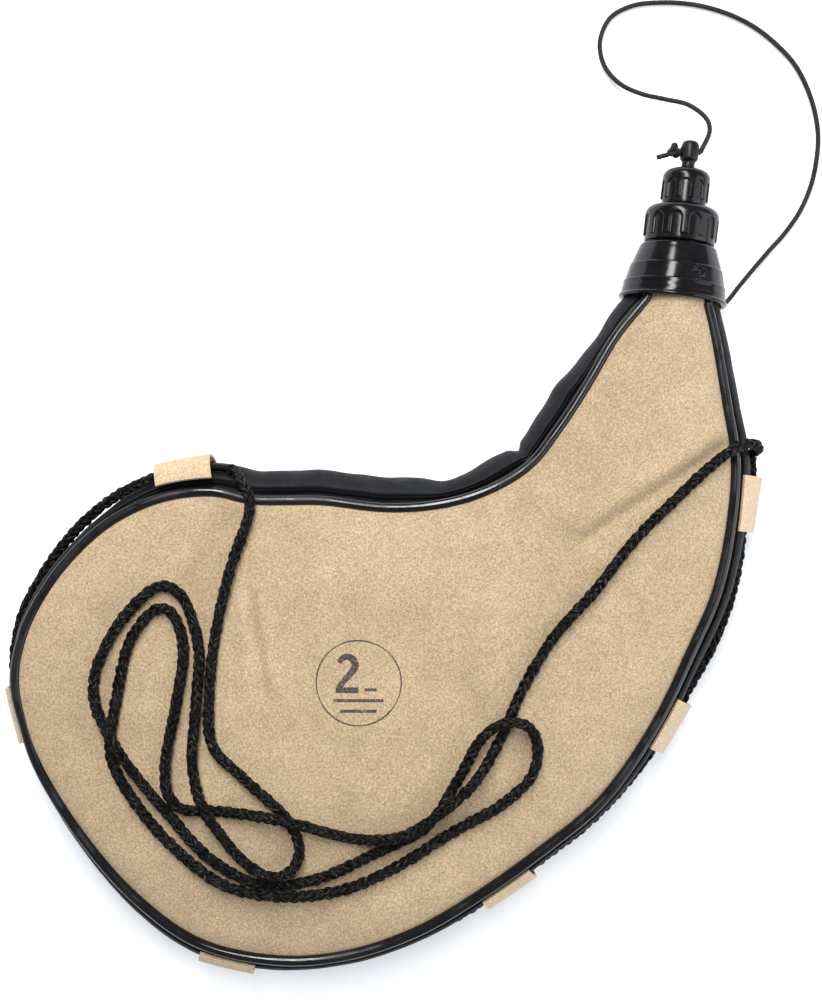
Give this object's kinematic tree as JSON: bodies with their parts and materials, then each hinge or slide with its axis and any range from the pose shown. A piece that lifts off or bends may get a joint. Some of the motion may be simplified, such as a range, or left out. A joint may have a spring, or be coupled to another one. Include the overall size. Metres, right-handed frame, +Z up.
{
  "type": "bota bag",
  "caption": "Curved leather drinking bag with piped seams, a screwed neck, a tethered spout cap and a braided sling held by leather loops.",
  "frame": {"origin": "middle of the bag and its caps on the surface they lie on, measured without the free cords", "axes": "+Z up from the resting surface through the tan front panel, +Y towards the neck and caps, +X towards the outer, longer side of the curve"},
  "size_m": [0.3747, 0.4437, 0.062],
  "materials": {
    "tan_suede": "fine-napped tan suede",
    "pale_suede": "pale tan suede, cut edges bare",
    "black_leatherette": "black grained leatherette, satin",
    "black_vinyl": "black glossy vinyl piping",
    "clear_bladder": "flexible latex-like film",
    "black_plastic": "moulded black plastic, semi-gloss",
    "grey_rubber": "soft dark grey rubber",
    "black_yarn": "round black braid"
  },
  "bodies": {
    "bag": {"back_panel": "black_leatherette", "back_piping": "black_vinyl", "bladder": "clear_bladder", "filler_neck": "black_plastic", "front_panel": "tan_suede", "front_piping": "black_vinyl", "gusset": "black_leatherette", "neck_clamp": "grey_rubber", "neck_collar": "black_plastic", "sling_held": "black_yarn", "sling_loose": "black_yarn", "tab_bottom": "pale_suede", "tab_far_left": "pale_suede", "tab_lower_right": "pale_suede", "tab_right": "pale_suede", "tab_upper_left": "pale_suede", "tab_upper_right": "pale_suede", "tether_cord": "black_yarn"},
    "filler_seal": {"filler_seal": "grey_rubber"},
    "filler_cap": {"filler_cap": "black_plastic", "spout": "black_plastic"},
    "spout_seal": {"spout_seal": "grey_rubber"},
    "spout_cap": {"spout_cap": "black_plastic", "tether_knot": "black_yarn"}
  },
  "joints": [
    {"name": "filler_cap_lift", "type": "slide", "parent": "bag", "child": "filler_seal", "axis": [0.1149, 0.9934, 0], "range_m": [0, 0.012], "deforming": ["tether_cord"]},
    {"name": "filler_cap_turn", "type": "hinge", "parent": "filler_seal", "child": "filler_cap", "pos_m": [0.13025, 0.11353, 0.0246], "axis": [0.1149, 0.9934, 0], "range_deg": [0, 1440]},
    {"name": "spout_cap_lift", "type": "slide", "parent": "filler_cap", "child": "spout_seal", "axis": [0.1149, 0.9934, 0], "range_m": [0, 0.012]},
    {"name": "spout_cap_turn", "type": "hinge", "parent": "spout_seal", "child": "spout_cap", "pos_m": [0.13025, 0.11353, 0.0246], "axis": [0.1149, 0.9934, 0], "range_deg": [0, 2160]}
  ],
  "couplings": [
    {"joint": "filler_cap_lift", "follows": "filler_cap_turn", "m_per_rad": 0.00047746},
    {"joint": "spout_cap_lift", "follows": "spout_cap_turn", "m_per_rad": 0.00031831}
  ]
}
